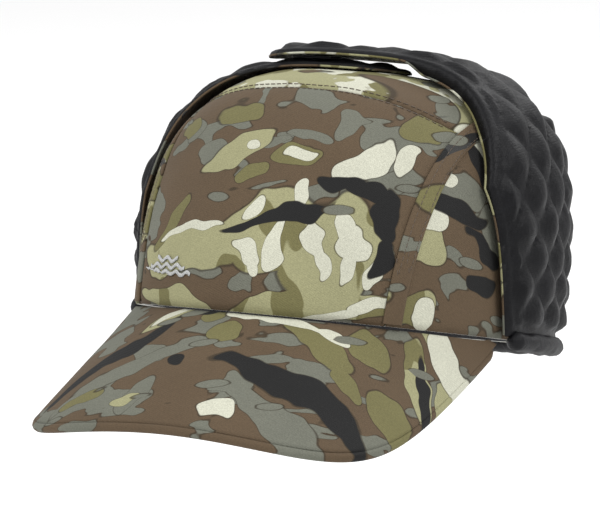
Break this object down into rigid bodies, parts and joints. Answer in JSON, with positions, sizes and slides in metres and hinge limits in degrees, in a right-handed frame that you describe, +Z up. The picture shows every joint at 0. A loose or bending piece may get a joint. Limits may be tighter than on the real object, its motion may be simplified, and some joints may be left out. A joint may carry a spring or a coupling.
{
  "type": "insulated trapper cap with folding ear flaps",
  "caption": "Insulated billed cap in camouflage fabric with a quilted ear and neck flap that folds up over the crown or down over the ears.",
  "frame": {"origin": "centre of the head opening at the lower edge of the sweatband", "axes": "+Z up as worn, visor towards -Y, the wearer's left is +X; the opening is pitched 12.5 degrees nose up"},
  "size_m": [0.1982, 0.2951, 0.1544],
  "materials": {
    "camo_shell": "matte twill shell, camouflage print in brown, olive, sage, grey and cream",
    "quilted_lining": "black diamond-quilted ripstop with a soft sheen",
    "insulation_fill": "lofted synthetic wadding",
    "inner_lining": "matte knitted lining",
    "visor_board": "plain moulded sheet",
    "woven_mark": "grey embroidery thread",
    "fastening_patch": "black hook and loop tape"
  },
  "bodies": {
    "crown": {"front_panel": "camo_shell", "top_panel": "camo_shell", "back_panel": "camo_shell", "side_panel_left": "camo_shell", "side_panel_right": "camo_shell", "seam_strip_left": "camo_shell", "seam_strip_right": "camo_shell", "crown_insulation": "insulation_fill", "crown_lining": "inner_lining", "sweatband": "inner_lining", "visor_board": "visor_board", "visor_top_fabric": "camo_shell", "visor_under_fabric": "camo_shell", "visor_edge_binding": "camo_shell", "front_emblem": "woven_mark"},
    "left_ear_flap": {"left_flap_shell": "camo_shell", "left_flap_insulation": "insulation_fill", "left_flap_lining": "quilted_lining"},
    "left_ear_tip": {"left_tip_shell": "camo_shell", "left_tip_lining": "quilted_lining", "left_tip_patch": "fastening_patch"},
    "right_ear_flap": {"right_flap_shell": "camo_shell", "right_flap_insulation": "insulation_fill", "right_flap_lining": "quilted_lining"},
    "right_ear_tip": {"right_tip_shell": "camo_shell", "right_tip_lining": "quilted_lining", "right_tip_patch": "fastening_patch"},
    "neck_flap": {"neck_flap_shell": "camo_shell", "neck_flap_insulation": "insulation_fill", "neck_flap_lining": "quilted_lining"}
  },
  "joints": [
    {"name": "left_ear_fold", "type": "hinge", "parent": "crown", "child": "left_ear_flap", "pos_m": [0.1005, -0.02961, 0.00503], "axis": [-0.2614, 0.9423, -0.2089], "range_deg": [0, 170]},
    {"name": "left_tip_bend", "type": "hinge", "parent": "left_ear_flap", "child": "left_ear_tip", "pos_m": [0.072, 0.02513, 0.11334], "axis": [-0.2614, 0.9423, -0.2089], "range_deg": [0, 68]},
    {"name": "right_ear_fold", "type": "hinge", "parent": "crown", "child": "right_ear_flap", "pos_m": [-0.1005, -0.02961, 0.00503], "axis": [0.2614, 0.9423, -0.2089], "range_deg": [-170, 0]},
    {"name": "right_tip_bend", "type": "hinge", "parent": "right_ear_flap", "child": "right_ear_tip", "pos_m": [-0.072, 0.02377, 0.1072], "axis": [0.2614, 0.9423, -0.2089], "range_deg": [-68, 0]},
    {"name": "neck_fold", "type": "hinge", "parent": "crown", "child": "neck_flap", "pos_m": [0, 0.1139, -0.02679], "axis": [-1, 0, 0], "range_deg": [0, 150]}
  ],
  "couplings": [
    {"joint": "right_ear_fold", "follows": "left_ear_fold", "ratio": -1},
    {"joint": "left_tip_bend", "follows": "left_ear_fold", "ratio": 0.4},
    {"joint": "right_tip_bend", "follows": "left_ear_fold", "ratio": -0.4}
  ]
}
